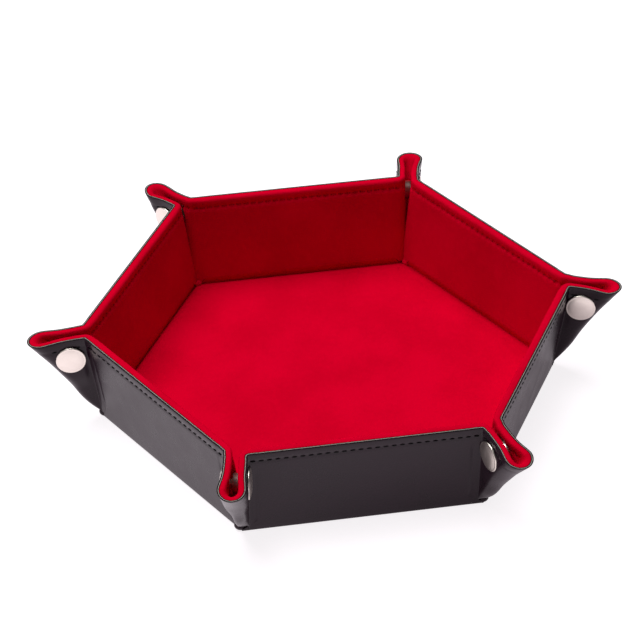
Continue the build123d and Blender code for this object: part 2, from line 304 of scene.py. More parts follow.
def wall_half_width(q, depth, foot):
    """Half the width of a wall piece: to the corner below the ear's foot, to the ear above it."""
    corner = (FACE_APOTHEM - depth * MITRE + min(q, 0)) * math.tan(HALF_STEP) - EDGE_GAP
    s = wall_height(q, depth)
    return corner if s < foot else min(corner, border(s))


def seam_dent(s):
    """How far the seam draws the leatherette in."""
    return SEAM_DENT * bump(s - SEAM, SEAM_WIDTH)


def press_skin(p, s):
    """How far the leatherette is pressed in: by the seam, and past the board's edges."""
    past_board = smooth((abs(p) - (REACH - BOARD_EDGE)) / BOARD_BLEND)
    bend = BEND_DENT * bump(abs(p) - (REACH - BEND_PLACE), BEND_WIDTH)
    bend *= smooth((SEAM - 3 * MM - s) / (6 * MM)) * smooth(s / (8 * MM))
    return seam_dent(s) + BOARD_STEP * past_board + bend


def press_lining(p, s):
    """How far the velvet is pressed in: deep at each stitch, little at the tufts between."""
    stitch = 0.5 + 0.5 * math.cos(2 * math.pi * p / STITCH_PITCH)
    seam = (VELVET_FURROW + STITCH_PULL * stitch) * bump(s - SEAM, FURROW_WIDTH)
    return seam + VELVET_WAVE * noise.noise(Vector((abs(p), s, 0)) / WAVE_SPAN)


def leg_point(flap, p, s, depth):
    """A flap's sheet from its wall over the crease and out along the ear."""
    end = flap.end
    if p <= REACH - flap.turn:
        return flap.wall.at(end * p, s, depth)
    if p < REACH + flap.turn:
        turned = (p - REACH + flap.turn) / (2 * flap.turn) * flap.fold
        arm = CREASE_RADIUS + depth
        across = REACH - flap.turn + arm * math.sin(turned)
        out = CREASE_RADIUS - arm * math.cos(turned)
        return flap.wall.at(end * across, s, -out)
    u = p - REACH
    face = flap.face(u, s)
    face -= flap.away * pinch(flap, face, u, s)
    gap = (face - flap.ear.origin).dot(flap.away)
    return face - flap.normal * squeezed(depth, gap)


def squeezed(depth, gap):
    """Depth in an ear, where the lining has only the room up to the middle plane."""
    if depth <= LEATHER:
        return depth
    room = (gap - EAR_SLIT - LEATHER) / EAR_LINING
    return LEATHER + (depth - LEATHER) * min(1.0, max(0.04, room))


def pinch(flap, face, u, s):
    """How far the snap draws a flap in, and how far the end loop springs out."""
    ear = flap.ear
    gap = (face - ear.origin).dot(flap.away)
    off = face - ear.snap
    reach = math.hypot(off.dot(ear.out), off.z)
    drawn = 1 - smooth((reach - PINCH_FLAT) / PINCH_FALL)
    drawn *= smooth((u - flap.turn) / (3.0 * MM))
    sprung = bump(u - loop_start(flap, s), SPRING_SPAN) * smooth(s / LENGTH * 2 - 0.9)
    return (gap - flap.seat) * drawn - LOOP_SPRING * sprung


def ridge_reach(flap, s):
    """Distance from the crease to the ridge along the flap at a height."""
    return (flap.ear.ridge(s) - flap.face(0, s)).dot(flap.along)


def loop_start(flap, s):
    """Where a flap leaves its straight run for the end loop."""
    reach = ridge_reach(flap, s)
    half = (flap.face(reach, s) - flap.ear.origin).dot(flap.away)
    return max(reach - LOOP_SHARE * half, 0.4 * reach)


def loop_point(flap, share, s, depth):
    """The end loop, from the straight run at share 0 round to the ridge at share 1."""
    ear = flap.ear
    start = leg_point(flap, REACH + loop_start(flap, s), s, depth)
    gap = (start - ear.origin).dot(flap.away)
    face = leg_point(flap, REACH + loop_start(flap, s), s, 0)
    inset = squeezed(depth, (face - ear.origin).dot(flap.away))
    ridge = ear.ridge(s) - ear.out * inset
    ahead = ridge - (start - flap.away * gap)
    turned = share * math.pi / 2
    return start + ahead * math.sin(turned) - flap.away * gap * (1 - math.cos(turned))


# ---------------------------------------------------------------- making meshes
def stops(*runs):
    """Row places: each run is (start, end, count)."""
    places = [runs[0][0]]
    for start, end, count in runs:
        places += [start + (end - start) * (i + 1) / count for i in range(count)]
    return places


def cut_slab(columns, rows, outline, depths):
    """A flat panel as a closed slab: rows up it, its width at each row from outline."""
    bm = bmesh.new()
    bmesh.ops.create_grid(bm, x_segments=columns, y_segments=len(rows) - 1, size=0.5)
    for vert in bm.verts:
        row = rows[round((vert.co.y + 0.5) * (len(rows) - 1))]
        left, right = outline(row)
        vert.co = Vector((left + (right - left) * (vert.co.x + 0.5), row, depths[0]))
    grown = bmesh.ops.extrude_face_region(bm, geom=bm.faces[:])["geom"]
    far = [item for item in grown if isinstance(item, bmesh.types.BMVert)]
    bmesh.ops.translate(bm, vec=(0, 0, depths[1] - depths[0]), verts=far)
    bmesh.ops.recalc_face_normals(bm, faces=bm.faces[:])
    return bm


def declare_skin(rows, outline):
    """Works out the widths, area and size of a skin's flat panel; nothing is done with them."""
    widths = [right - left for left, right in map(outline, rows)]
    strips = zip(rows, rows[1:], widths, widths[1:])
    area = sum((top - foot) * (first + second) / 2 for foot, top, first, second in strips)
    size = (max(widths), rows[-1] - rows[0])


def round_rim(bm, top, depth, radius, segments):
    """Rounds the edge that runs along the rim at one depth."""
    def on_rim(vert):
        return abs(vert.co.y - top) < 1e-6 and abs(vert.co.z - depth) < 1e-6

    edges = [edge for edge in bm.edges if on_rim(edge.verts[0]) and on_rim(edge.verts[1])]
    bmesh.ops.bevel(
        bm, geom=edges, offset=radius, segments=segments, affect="EDGES", profile=0.5, material=-1
    )


def round_skin(bm, top):
    """Rounds the leatherette's outer rim."""
    round_rim(bm, top, 0, SKIN_ROUND, 2)


def round_velvet(bm, top):
    """Rounds the velvet's rim, wide at its face and little at its back."""
    round_rim(bm, top, WALL_FACE, VELVET_ROUND, 5)
    round_rim(bm, top, LEATHER, BACK_ROUND, 3)


def fold_up(bm, fold):
    """Moves every point of a flat slab to its folded place, and remembers its depth."""
    depth_of = bm.verts.layers.float.new("depth")
    for vert in bm.verts:
        vert[depth_of] = vert.co.z / LEATHER
        vert.co = fold(*vert.co)
    bmesh.ops.recalc_face_normals(bm, faces=bm.faces[:])


def make_piece(name, bm, material):
    """A smooth object from a finished bmesh."""
    mesh = bpy.data.meshes.new(name)
    bm.to_mesh(mesh)
    bm.free()
    mesh.polygons.foreach_set("use_smooth", [True] * len(mesh.polygons))
    mesh.set_sharp_from_angle(angle=math.radians(50))
    mesh.materials.append(material)
    piece = bpy.data.objects.new(name, mesh)
    bpy.context.collection.objects.link(piece)
    return piece


# ---------------------------------------------------------------- shader helpers
class Value:
    """A number socket that can be used in Python sums."""

    def __init__(self, finish, socket):
        self.finish = finish
        self.socket = socket

    def sum(self, operation, first, second):
        return self.finish.number("ShaderNodeMath", {"operation": operation}, {0: first, 1: second})

    def __add__(self, other):
        return self.sum("ADD", self, other)

    def __radd__(self, other):
        return self.sum("ADD", other, self)

    def __sub__(self, other):
        return self.sum("SUBTRACT", self, other)

    def __rsub__(self, other):
        return self.sum("SUBTRACT", other, self)

    def __mul__(self, other):
        return self.sum("MULTIPLY", self, other)

    def __rmul__(self, other):
        return self.sum("MULTIPLY", other, self)


class Finish:
    """A material and its nodes."""

    def __init__(self, name):
        self.material = bpy.data.materials.new(name)
        self.material.use_nodes = True
        self.tree = self.material.node_tree
        self.tree.nodes.clear()
        self.shader = self.tree.nodes.new("ShaderNodeBsdfPrincipled")
        output = self.tree.nodes.new("ShaderNodeOutputMaterial")
        self.tree.links.new(self.shader.outputs[0], output.inputs[0])

    def node(self, kind, settings=None, inputs=None):
        """A node of a type, with its settings made first and then its sockets' values."""
        node = self.tree.nodes.new(kind)
        for name, value in (settings or {}).items():
            setattr(node, name, value)
        for key, value in (inputs or {}).items():
            self.feed(node.inputs[key], value)
        return node

    def feed(self, socket, value):
        if isinstance(value, Value):
            value = value.socket
        if isinstance(value, bpy.types.NodeSocket):
            self.tree.links.new(value, socket)
        else:
            socket.default_value = value

    def number(self, kind, settings=None, inputs=None, output=0):
        return Value(self, self.node(kind, settings, inputs).outputs[output])

    def place(self):
        """The point's place on the object."""
        return self.node("ShaderNodeTexCoord").outputs["Object"]

    def ramp(self, value, low, high):
        """0 at low, 1 at high."""
        inputs = {"Value": value, "From Min": low, "From Max": high}
        return self.number("ShaderNodeMapRange", {"interpolation_type": "SMOOTHSTEP"}, inputs)

    def speckle(self, place, size, detail=2.0):
        """Soft noise with spots of about that size in metres."""
        return self.number(
            "ShaderNodeTexNoise", None, {"Vector": place, "Scale": 1 / size, "Detail": detail}
        )

    def mix(self, share, first, second):
        """A colour between two colours."""
        node = self.node("ShaderNodeMix", {"data_type": "RGBA"})
        self.feed(node.inputs[0], share)
        self.feed(node.inputs[6], first)
        self.feed(node.inputs[7], second)
        return node.outputs[2]

    def relief(self, height, distance, strength=1.0):
        """Bump from a height of 0 to 1, standing for that distance in metres."""
        inputs = {"Height": height, "Distance": distance, "Strength": strength}
        self.feed(self.shader.inputs["Normal"], self.node("ShaderNodeBump", None, inputs).outputs[0])

    def set(self, **values):
        for name, value in values.items():
            self.feed(self.shader.inputs[name.replace("_", " ")], value)
        return self.material


def colour(value):
    """A colour with its alpha, as a socket takes it."""
    return (*value, 1.0)


def leatherette(look):
    """Black coated leatherette: fine pebble grain, soft gloss, a pale line in its cut edge."""
    finish = Finish("tray_leatherette")
    place = finish.place()
    cells = finish.number(
        "ShaderNodeTexVoronoi", {"feature": "SMOOTH_F1"}, {"Vector": place, "Scale": 1 / (0.75 * MM)}
    )
    soft = finish.speckle(place, 9 * MM)
    fine = finish.speckle(place, 0.5 * MM, 3.0)
    depth = finish.number("ShaderNodeAttribute", {"attribute_name": "depth"}, None, "Fac")
    edge = finish.ramp(depth, 0.02, 0.12)
    line = finish.ramp(depth, 0.56, 0.62) * (1 - finish.ramp(depth, 0.74, 0.80))
    skin = finish.mix(soft, colour(look.leather_dark), colour(look.leather_light))
    skin = finish.mix(edge, skin, (0.003, 0.002, 0.003, 1))
    finish.relief(cells * 0.55 + fine * 0.3 + soft * 0.6, 0.1 * MM, 0.4)
    return finish.set(
        Base_Color=finish.mix(line, skin, colour(look.leather_core)),
        Roughness=0.22 + 0.14 * soft + 0.5 * edge,
        IOR=1.33,
    )


def velvet(look):
    """Red velvet: brushed pile that shades with the nap."""
    finish = Finish("tray_velvet")
    place = finish.place()
    nap = finish.speckle(place, 26 * MM, 3.0)
    pile = finish.speckle(place, 0.45 * MM, 2.0)
    tuft = finish.speckle(place, 2.2 * MM, 2.0)
    shade = finish.ramp(nap * 0.7 + tuft * 0.2 + pile * 0.1, 0.35, 0.65)
    finish.relief(pile * 0.7 + tuft * 0.5, 0.28 * MM, 0.6)
    return finish.set(
        Base_Color=finish.mix(shade, colour(look.velvet_dark), colour(look.velvet_light)),
        Roughness=0.9 - 0.1 * pile,
        IOR=1.0,
        Sheen_Weight=0.12,
        Sheen_Roughness=0.4,
        Sheen_Tint=colour((1.0, 0.0, 0.05)),
    )


def nickel(look):
    """Satin nickel plate with faint turning marks."""
    finish = Finish("tray_nickel")
    place = finish.place()
    cloud = finish.speckle(place, 3 * MM)
    fine = finish.speckle(place, 0.25 * MM)
    finish.relief(fine * 0.6 + cloud * 0.5, 0.03 * MM, 0.5)
    return finish.set(
        Base_Color=finish.mix(cloud, colour(look.nickel_dark), colour(look.nickel_light)),
        Metallic=1.0,
        Roughness=0.24 + 0.14 * cloud,
    )


def thread(name, tint):
    """Twisted polyester sewing thread."""
    finish = Finish(name)
    place = finish.place()
    strand = finish.speckle(place, 0.22 * MM)
    finish.relief(strand, 0.08 * MM, 0.6)
    return finish.set(
        Base_Color=finish.mix(strand, colour([c * 0.6 for c in tint]), colour(tint)),
        Roughness=0.55 + 0.2 * strand,
        IOR=1.25,
    )


def greyboard():
    """Plain grey stiffener board."""
    finish = Finish("tray_greyboard")
    place = finish.place()
    fibre = finish.speckle(place, 1.2 * MM, 4.0)
    finish.relief(fibre, 0.1 * MM, 0.5)
    return finish.set(
        Base_Color=finish.mix(fibre, colour((0.30, 0.28, 0.25)), colour((0.42, 0.40, 0.37))),
        Roughness=0.9,
    )


def materials(context):
    """The tray's materials, made once."""
    look = context.scene.dice_tray_look
    makers = {
        "leatherette": lambda: leatherette(look),
        "velvet": lambda: velvet(look),
        "nickel": lambda: nickel(look),
        "black_thread": lambda: thread("tray_black_thread", look.thread_black),
        "red_thread": lambda: thread("tray_red_thread", look.thread_red),
        "greyboard": greyboard,
    }
    found = bpy.data.materials.get
    return {name: found(f"tray_{name}") or make() for name, make in makers.items()}


# ---------------------------------------------------------------- pieces
def base_piece(name, depths, apothem, material, slot, node):
    """A level hexagon, cut as six triangles that are divided finely."""
    bm = bmesh.new()
    bmesh.ops.create_circle(
        bm, cap_ends=True, cap_tris=True, segments=SIDES, radius=apothem / math.cos(HALF_STEP)
    )
    bmesh.ops.rotate(bm, verts=bm.verts[:], matrix=Matrix.Rotation(math.pi / 2, 3, "Z"))
    bmesh.ops.subdivide_edges(bm, edges=bm.edges[:], cuts=11, use_grid_fill=True)
    bmesh.ops.translate(bm, vec=(0, 0, depths[0]), verts=bm.verts[:])
    grown = bmesh.ops.extrude_face_region(bm, geom=bm.faces[:])["geom"]
    far = [item for item in grown if isinstance(item, bmesh.types.BMVert)]
    bmesh.ops.translate(bm, vec=(0, 0, depths[1] - depths[0]), verts=far)
    fold_up(bm, lambda x, y, z: Vector((x, y, z)))
    piece = make_piece(name, bm, material)
    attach(piece, "base")
    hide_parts(node)
    if slot == "velvet":
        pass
    else:
        width = 2 * apothem
        area = width * width * math.cos(HALF_STEP)
        width / math.cos(HALF_STEP)


def corner_piece(corner, name, place, radii, material):
    """A rounded piece that closes a corner of the base; its place is (radial, height)."""
    bm = bmesh.new()
    bmesh.ops.create_uvsphere(bm, u_segments=24, v_segments=16, radius=1)
    out = EARS[corner].foot.xy.normalized().to_3d()
    basis = Matrix((out * radii[0], UP.cross(out) * radii[1], UP * radii[2])).transposed().to_4x4()
    basis.translation = out * place[0] + UP * place[1]
    bmesh.ops.transform(bm, matrix=basis, verts=bm.verts[:])
    piece = make_piece(f"corner_{corner}_{name}", bm, material)
    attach(piece, "base")


def fold_blend(piece, wall):
    """Bakes a piece's place into its mesh; the two ends of the fold between the base and a wall are worked out but
    not used.
    """
    start = wall.out * (FACE_APOTHEM - FOLD_TANGENT)
    end = wall.out * FACE_APOTHEM + wall.up * FOLD_TANGENT
    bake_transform(piece)


def wall_skin(wall, material):
    """The leatherette of one wall, with the fold at its foot."""
    rim = LENGTH - wall_height(0, 0)
    rows = stops((-BASE_BORDER, -FOLD_TANGENT, 4), (-FOLD_TANGENT, FOLD_TANGENT, 10),
                 (FOLD_TANGENT, rim - 8 * MM, 14), (rim - 8 * MM, rim - RIM_ROW, 14),
                 (rim - RIM_ROW, rim, 1))

    def outline(q):
        half = wall_half_width(q, 0, EAR_FOOT)
        return -half, half

    def fold(p, q, depth):
        s = wall_height(q, depth if q > FOLD_TANGENT else 0)
        return fold_skin(wall, p, q, depth) - wall.normal * press_skin(p, s) * smooth(q / (6 * MM))

    bm = cut_slab(96, rows, outline, (0, LEATHER))
    round_skin(bm, rim)
    fold_up(bm, fold)
    piece = make_piece(f"wall_{wall.number}_skin", bm, material)
    fold_blend(piece, wall)
    declare_skin(rows, outline)
    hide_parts(f"wall_{wall.number}_leather")
    return piece


def wall_lining(wall, material):
    """The velvet of one wall, with the groove at its foot and a rounded rim."""
    rim = LENGTH - wall_height(0, WALL_FACE)
    rows = stops((-FLOOR_BORDER, -3 * MM, 3), (-3 * MM, 3 * MM, 16),
                 (3 * MM, rim - 8 * MM, 16), (rim - 8 * MM, rim - RIM_ROW, 15),
                 (rim - RIM_ROW, rim, 1))

    def outline(q):
        half = wall_half_width(q, WALL_FACE, LINING_FOOT)
        return -half, half

    def fold(p, q, depth):
        s = wall_height(q, WALL_FACE)
        share = (depth - LEATHER) / BASE_LINING
        pressed = press_lining(p, s) * share * smooth(q / (5 * MM))
        back = (LENGTH - wall_height(rim, depth)) * smooth((q - rim / 2) / (rim / 2))
        return fold_lining(wall, p, q + back, depth) + wall.normal * pressed

    bm = cut_slab(128, rows, outline, (LEATHER, WALL_FACE))
    round_velvet(bm, rim)
    fold_up(bm, fold)
    piece = make_piece(f"wall_{wall.number}_velvet", bm, material)
    fold_blend(piece, wall)
    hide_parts(f"wall_{wall.number}_lining")
    return piece


def crease_blend(piece, flap):
    """Bakes a piece's place into its mesh; the two ends of the crease between a wall and a flap are worked out but
    not used.
    """
    inset = REACH - flap.turn
    start = flap.wall.at(flap.end * inset, 0, EAR_FACE)
    end = flap.foot + flap.along * flap.turn + flap.normal * (CREASE_DEPTH - EAR_FACE)
    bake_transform(piece)


def loop_squash(piece, flap):
    """Lets an end loop ride on its flap, and gives it its own copy of its mesh."""
    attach(piece, flap.body)
    anchor = flap.face(0, 0) - flap.normal * EAR_FACE
    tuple(flap.normal)
    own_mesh(piece)


def lining_depth(p, depth):
    """Depth in the ear's lining, which is thinner than the wall's."""
    share = (depth - LEATHER) / BASE_LINING
    thin = smooth((p - (REACH - WALL_BORDER)) / (WALL_BORDER + LINING_THIN_END))
    return LEATHER + share * (BASE_LINING * (1 - thin) + EAR_LINING * thin)


def pressed_by_snap(flap, point, depth):
    """Depth of the lining around the snap, whose flange presses it down."""
    off = point - flap.ear.snap
    reach = math.hypot(off.dot(flap.ear.out), off.z)
    under = 1 - smooth((reach - FLANGE_FLAT) / FLANGE_FALL)
    return depth + (LEATHER + FLANGE_PAD - depth) * under if depth > LEATHER else depth


def flap_rows(foot):
    """Heights of a flap's rows, closer together near its foot and its rim."""
    return stops((foot, 6 * MM, 7), (6 * MM, LENGTH - 8 * MM, 34),
                 (LENGTH - 8 * MM, LENGTH - RIM_ROW, 14), (LENGTH - RIM_ROW, LENGTH, 1))


def flap_skin(flap, material):
    """The leatherette of a flap, from the wall over the crease to its end loop."""
    rows = flap_rows(EAR_FOOT)

    def outline(s):
        return border(s), REACH + loop_start(flap, s)

    def fold(p, s, depth):
        out = flap.wall.normal if p < REACH else flap.normal
        on_wall = press_skin(p, s) * smooth((REACH - 2 * MM - p) / (2 * MM))
        on_ear = seam_dent(s) * smooth((p - REACH + 4 * MM) / (2 * MM))
        return leg_point(flap, p, s, depth) - out * (on_wall + on_ear)

    bm = cut_slab(40, rows, outline, (0, LEATHER))
    round_skin(bm, LENGTH)
    fold_up(bm, fold)
    piece = make_piece(f"ear_{flap.name}_skin", bm, material)
    crease_blend(piece, flap)
    declare_skin(rows, outline)
    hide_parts(f"ear_{flap.name}_leather")
    return piece


def flap_lining(flap, material):
    """The velvet of a flap, pressed in around its snap."""
    def outline(s):
        return border(s), REACH + loop_start(flap, s)

    def fold(p, s, depth):
        deep = lining_depth(p, depth)
        flat = leg_point(flap, p, s, deep)
        deep = pressed_by_snap(flap, flat, deep)
        share = (depth - LEATHER) / BASE_LINING
        out = flap.wall.normal if p < REACH else flap.normal
        return leg_point(flap, p, s, deep) + out * press_lining(p, s) * share

    bm = cut_slab(44, flap_rows(LINING_FOOT), outline, (LEATHER, WALL_FACE))
    round_velvet(bm, LENGTH)
    fold_up(bm, fold)
    piece = make_piece(f"ear_{flap.name}_velvet", bm, material)
    crease_blend(piece, flap)
    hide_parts(f"ear_{flap.name}_lining")
    return piece


def loop_piece(flap, name, depths, foot, material, slot):
    """Half of an ear's end loop, in one layer."""
    def fold(p, s, depth):
        if depth > LEATHER:
            depth = lining_depth(REACH + LINING_THIN_END, depth)
        seam = seam_dent(s) if depth <= LEATHER else 0
        return loop_point(flap, p, s, depth) - flap.away * seam * math.cos(p * math.pi / 2)

    bm = cut_slab(10, flap_rows(foot), lambda s: (0, 1), depths)
    rounding = round_velvet if slot == "velvet" else round_skin
    rounding(bm, LENGTH)
    fold_up(bm, fold)
    piece = make_piece(f"ear_{flap.name}_{name}", bm, material)
    loop_squash(piece, flap)
    return piece


# ---------------------------------------------------------------- seams
def sew(name, path, places, look, material):
    """A row of stitches along a folded surface; path(place, depth) gives its points."""
    bm = bmesh.new()
    step = 0.3 * MM
    length, width = look.stitch_length, look.stitch_width
    for place in places:
        centre = path(place, 0)
        along = (path(place + step, 0) - path(place - step, 0)).normalized()
        out = (centre - path(place, step)).normalized()
        across = out.cross(along).normalized()
        stitch = bmesh.ops.create_uvsphere(bm, u_segments=8, v_segments=6, radius=0.5)["verts"]
        basis = Matrix((along * length, across * width, out * width * 0.8)).transposed().to_4x4()
        basis.translation = centre + out * STITCH_PROUD
        bmesh.ops.transform(bm, matrix=basis, verts=stitch)
    return make_piece(name, bm, material)


def seam_places(start, end):
    """Stitch centres between two places, a pitch apart and centred."""
    count = max(1, int((end - start) / STITCH_PITCH))
    first = (start + end - (count - 1) * STITCH_PITCH) / 2
    return [first + i * STITCH_PITCH for i in range(count)]


# ---------------------------------------------------------------- snaps
def arc(centre, radius, start, end, steps):
    """Points of an arc, from start to end degrees."""
    turns = [math.radians(start + (end - start) * i / steps) for i in range(steps + 1)]
    return [(centre[0] + radius * math.cos(t), centre[1] + radius * math.sin(t)) for t in turns]


def turn(bm, profile, closed=False, sweep=2 * math.pi, steps=48):
    """Turns a profile of (radius, height) points about Z."""
    verts = [bm.verts.new((radius, 0, height)) for radius, height in profile]
    edges = [bm.edges.new(pair) for pair in zip(verts, verts[1:])]
    if closed:
        edges.append(bm.edges.new((verts[-1], verts[0])))
    whole = sweep > 6.28
    bmesh.ops.spin(bm, geom=verts + edges, cent=(0, 0, 0), axis=(0, 0, 1), angle=sweep,
                   steps=steps, use_merge=whole, use_duplicate=False)


def cap_profile():
    """A domed cap with a rolled edge, its underside at height 0, and its post."""
    dome = [(0.0, 1.55), (1.5, 1.52), (3.0, 1.41), (4.3, 1.22), (5.2, 0.98)]
    edge = arc((5.7, 0.45), 0.45, 105, -90, 9)
    points = dome + edge + [(1.3, 0.0), (1.3, -1.0), (0.0, -1.0)]
    return [(r * MM, h * MM) for r, h in points]


def socket_profile():
    """The socket's shell from its flange to its mouth, the mouth facing down."""
    floor = -1.0
    points = [(0.0, floor - 1.5), (2.95, floor - 1.5), (2.95, floor - 3.2), (3.7, floor - 3.3),
              (3.7, floor - 4.0), (2.95, floor - 4.1), (2.95, floor - 4.6)]
    points += arc((3.5, floor - 4.4), 0.5, 190, 340, 5)
    points += [(4.1, floor - 1.2)] + arc((4.45, floor - 0.5), 0.3, -60, 60, 4) + [(0.0, floor)]
    return [(r * MM, h * MM) for r, h in points]


def stud_profile():
    """The stud from its flange to its head, the head facing down."""
    floor = -1.0
    points = [(0.0, floor - 3.3)] + arc((1.6, floor - 2.7), 0.6, -90, 20, 5)
    points += [(1.9, floor - 1.9), (1.9, floor - 1.1)]
    points += arc((3.8, floor - 0.4), 0.4, -90, 90, 5) + [(0.0, floor)]
    return [(r * MM, h * MM) for r, h in points]


def snap_half(ear, side, material):
    """One half of a snap fastener: its cap outside, its socket or stud inside."""
    flap = ear.flaps[side]
    bm = bmesh.new()
    turn(bm, cap_profile())
    turn(bm, socket_profile() if side == "a" else stud_profile())
    if side == "a":
        ring = arc((3.35 * MM, -4.65 * MM), 0.3 * MM, 0, 324, 9)
        turn(bm, ring, closed=True, sweep=math.radians(310), steps=36)
    bmesh.ops.remove_doubles(bm, verts=bm.verts[:], dist=1e-6)
    bmesh.ops.recalc_face_normals(bm, faces=bm.faces[:])
    across = flap.away.cross(UP)
    place = Matrix((across, UP, flap.away)).transposed().to_4x4()
    place.translation = ear.snap + flap.away * flap.seat
    bmesh.ops.transform(bm, matrix=place, verts=bm.verts[:])
    bmesh.ops.recalc_face_normals(bm, faces=bm.faces[:])
    kind = "socket" if side == "a" else "stud"
    piece = make_piece(f"snap_{ear.corner}_{kind}", bm, material)
    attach(piece, flap.body)
    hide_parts(f"{kind}_snap_{ear.corner}")
    return piece


# ---------------------------------------------------------------- stage
def place_camera():
    """The camera, placed by its bearing and height over the tray's centre."""
    azimuth, elevation, distance = math.radians(-8.524), math.radians(38.161), 1.04399
    yaw, pitch, roll = math.radians(0.241), math.radians(-1.586), math.radians(-1.231)

    def back_at(az, el):
        return Vector((math.sin(az) * math.cos(el), -math.cos(az) * math.cos(el), math.sin(el)))

    back = back_at(azimuth + yaw, elevation + pitch)
    right = Vector((math.cos(azimuth + yaw), math.sin(azimuth + yaw), 0))
    up = back.cross(right)
    right, up = (right * math.cos(roll) + up * math.sin(roll),
                 up * math.cos(roll) - right * math.sin(roll))
    data = bpy.data.cameras.new("camera")
    data.sensor_width = 36
    data.lens = 140.49
    camera = bpy.data.objects.new("camera", data)
    place = Matrix((right, up, back)).transposed().to_4x4()
    place.translation = back_at(azimuth, elevation) * distance
    camera.matrix_world = place
    bpy.context.collection.objects.link(camera)
    bpy.context.scene.camera = camera


def soft_light(name, place, aim, size, power):
    """A rectangular softbox that faces its aim."""
    data = bpy.data.lights.new(name, "AREA")
    data.shape = "RECTANGLE"
    data.size, data.size_y = size
    data.energy = power
    light = bpy.data.objects.new(name, data)
    light.location = place
    light.rotation_mode = "QUATERNION"
    light.rotation_quaternion = (Vector(place) - Vector(aim)).to_track_quat("Z", "Y")
    bpy.context.collection.objects.link(light)


# ---------------------------------------------------------------- add-on
class DiceTrayLook(bpy.types.PropertyGroup):
    """Sizes and colours that a user may change."""

    stitch_length: bpy.props.FloatProperty(
        name="Stitch length", description="Length of each stitch of the seams", unit="LENGTH",
        min=0.5 * MM, max=3.0 * MM, precision=5, default=2.1 * MM)
    stitch_width: bpy.props.FloatProperty(
        name="Stitch width", description="Thickness of the thread of the seams", unit="LENGTH",
        min=0.2 * MM, max=1.2 * MM, precision=5, default=0.7 * MM)
    leather_dark: bpy.props.FloatVectorProperty(
        name="Leatherette dark", description="Darker tone of the leatherette", subtype="COLOR",
        size=3, min=0, max=1, default=(0.009, 0.0015, 0.006))
    leather_light: bpy.props.FloatVectorProperty(
        name="Leatherette light", description="Lighter tone of the leatherette", subtype="COLOR",
        size=3, min=0, max=1, default=(0.016, 0.004, 0.011))
    leather_core: bpy.props.FloatVectorProperty(
        name="Leatherette core", description="Backing that shows in the cut edge", subtype="COLOR",
        size=3, min=0, max=1, default=(0.38, 0.34, 0.30))
    velvet_dark: bpy.props.FloatVectorProperty(
        name="Velvet dark", description="Velvet where the nap lies away", subtype="COLOR",
        size=3, min=0, max=1, default=(0.52, 0.0, 0.015))
    velvet_light: bpy.props.FloatVectorProperty(
        name="Velvet light", description="Velvet where the nap lies towards the light",
        subtype="COLOR", size=3, min=0, max=1, default=(0.60, 0.0, 0.019))
    nickel_dark: bpy.props.FloatVectorProperty(
        name="Nickel dark", description="Darker tone of the nickel plate", subtype="COLOR",
        size=3, min=0, max=1, default=(0.74, 0.67, 0.60))
    nickel_light: bpy.props.FloatVectorProperty(
        name="Nickel light", description="Lighter tone of the nickel plate", subtype="COLOR",
        size=3, min=0, max=1, default=(0.86, 0.79, 0.72))
    thread_black: bpy.props.FloatVectorProperty(
        name="Black thread", description="Thread on the leatherette", subtype="COLOR",
        size=3, min=0, max=1, default=(0.006, 0.005, 0.006))
    thread_red: bpy.props.FloatVectorProperty(
        name="Red thread", description="Thread on the velvet", subtype="COLOR",
        size=3, min=0, max=1, default=(0.22, 0.0, 0.008))


class MakeBase(bpy.types.Operator):
    """Make the skin and the lining of the base"""

    bl_idname = "dice_tray.base"
    bl_label = "Base"

    def execute(self, context):
        made = materials(context)
        apothem = FACE_APOTHEM - BASE_BORDER
        base_piece("base_skin", (0, LEATHER), apothem, made["leatherette"], "leatherette",
                   "base_leather")
        floor_apothem = FACE_APOTHEM - WALL_FACE * MITRE - FLOOR_BORDER
        base_piece("base_velvet", (LEATHER, WALL_FACE), floor_apothem, made["velvet"], "velvet",
                   "base_lining")
        outer = FACE_APOTHEM / math.cos(HALF_STEP)
        inner = (FACE_APOTHEM - WALL_FACE * MITRE) / math.cos(HALF_STEP)
        for corner in EARS:
            place = (outer - CORNER_SKIN_IN, CORNER_SKIN[2])
            corner_piece(corner, "skin", place, CORNER_SKIN, made["leatherette"])
            place = (inner + CORNER_VELVET_OUT, WALL_FACE - CORNER_VELVET_SINK)
            corner_piece(corner, "velvet", place, CORNER_VELVET, made["velvet"])
        for number in range(0, SIDES + 1):
            name = "base_board" if number == 0 else f"wall_{number}_board"
            board = frame["nodes"][name]
            board.data.materials.clear()
            board.data.materials.append(made["greyboard"])
        return {"FINISHED"}


class MakeWalls(bpy.types.Operator):
    """Make the skin and the lining of each wall"""

    bl_idname = "dice_tray.walls"
    bl_label = "Walls"

    def execute(self, context):
        made = materials(context)
        for wall in WALLS.values():
            wall_skin(wall, made["leatherette"])
            wall_lining(wall, made["velvet"])
        return {"FINISHED"}


class MakeEars(bpy.types.Operator):
    """Make the flaps and the end loops of the corner ears"""

    bl_idname = "dice_tray.ears"
    bl_label = "Ears"

    def execute(self, context):
        made = materials(context)
        for ear in EARS.values():
            for flap in ear.flaps.values():
                loop = loop_piece(flap, "skin_loop", (0, LEATHER), EAR_FOOT, made["leatherette"],
                                  "leatherette")
                flap_skin(flap, made["leatherette"])
                flap_lining(flap, made["velvet"])
                loop_piece(flap, "velvet_loop", (LEATHER, WALL_FACE), LINING_FOOT, made["velvet"],
                           "velvet")
        return {"FINISHED"}


